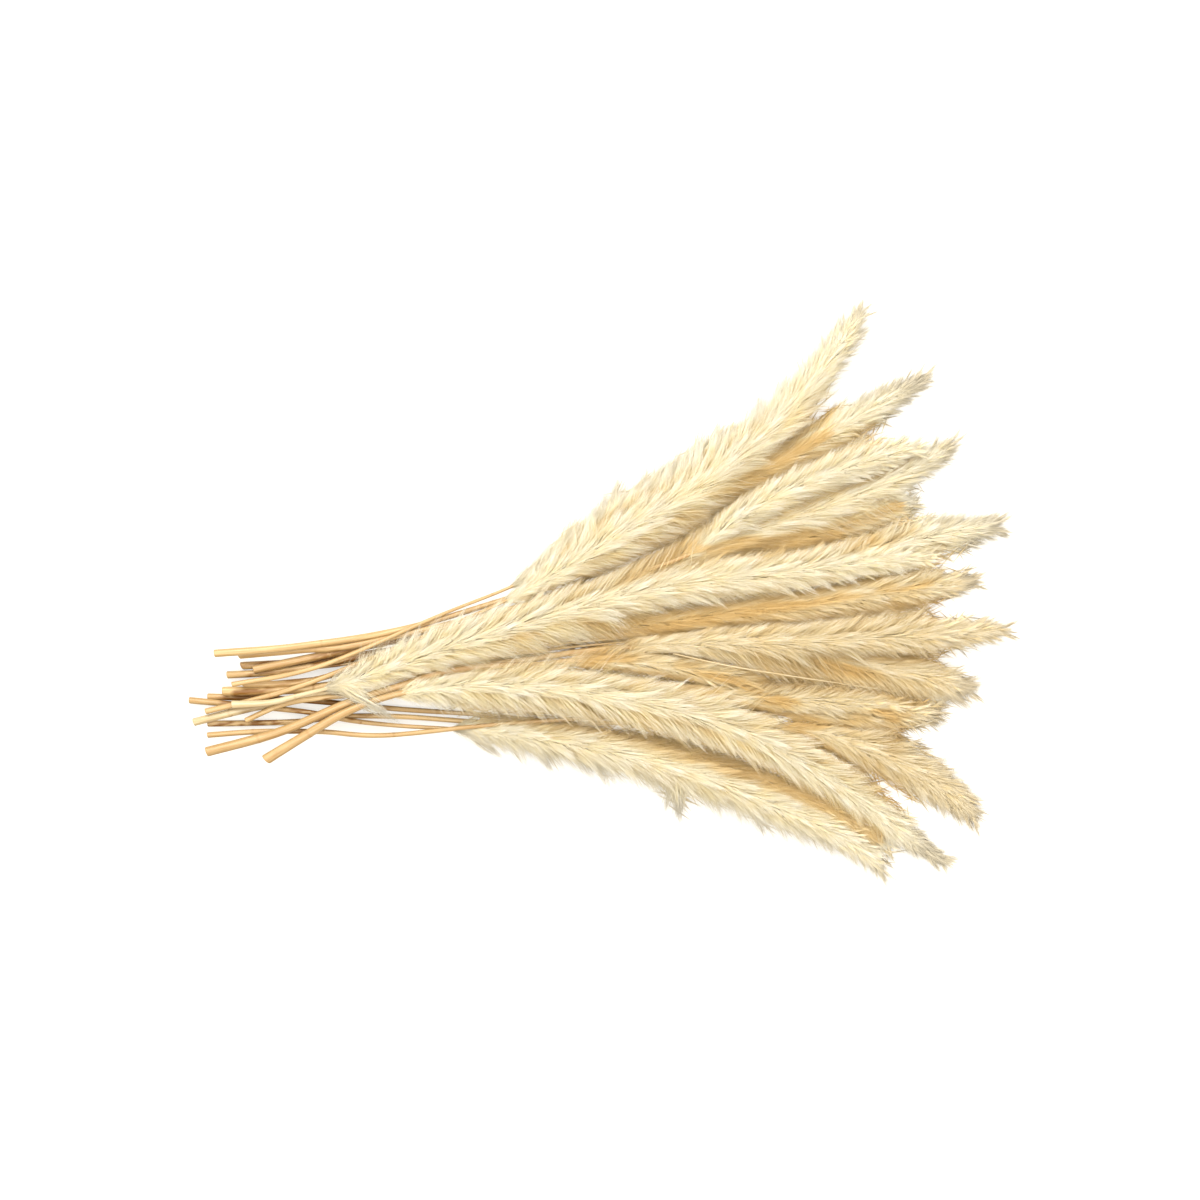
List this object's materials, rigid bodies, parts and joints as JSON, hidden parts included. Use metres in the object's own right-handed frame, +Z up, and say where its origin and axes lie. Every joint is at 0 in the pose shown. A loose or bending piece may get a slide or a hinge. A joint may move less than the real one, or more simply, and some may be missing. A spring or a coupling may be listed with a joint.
{
  "type": "dried pampas grass bunch",
  "caption": "Loose bunch of dried ornamental grass: thin straw stalks lying side by side and crossing near the cut ends, fanning out into long feathery ivory plumes.",
  "frame": {"origin": "on the surface the bunch lies on, in the middle of its footprint", "axes": "+X from the cut ends towards the tips of the plumes, +Y across the fan, +Z up from the surface"},
  "size_m": [0.4542, 0.312, 0.0286],
  "materials": {
    "straw": "dry straw, satin, with fine lengthwise lines and darker joints",
    "sheathed_straw": "pale dry leaf sheath over straw, matt",
    "ivory_fur": "fine soft hairs, matt, yellow at the middle and silvery at the tips",
    "beige_fur": "fine soft hairs, matt, light brown at the middle and grey-white at the tips"
  },
  "bodies": {
    "root": {"culm_01": "straw", "plume_01": "ivory_fur", "culm_02": "straw", "plume_02": "beige_fur", "culm_03": "straw", "plume_03": "ivory_fur", "culm_04": "straw", "plume_04": "beige_fur", "culm_05": "straw", "plume_05": "ivory_fur", "culm_06": "sheathed_straw", "plume_06": "beige_fur", "culm_07": "straw", "plume_07": "ivory_fur", "culm_08": "straw", "plume_08": "ivory_fur", "culm_09": "straw", "plume_09": "ivory_fur", "culm_10": "straw", "plume_10": "ivory_fur", "culm_11": "straw", "plume_11": "beige_fur", "culm_12": "straw", "plume_12": "beige_fur", "culm_13": "straw", "plume_13": "beige_fur", "culm_14": "straw", "plume_14": "beige_fur", "culm_15": "straw", "plume_15": "ivory_fur", "culm_16": "straw", "plume_16": "ivory_fur", "culm_17": "straw", "plume_17": "ivory_fur", "culm_18": "sheathed_straw", "plume_18": "ivory_fur"}
  },
  "joints": []
}
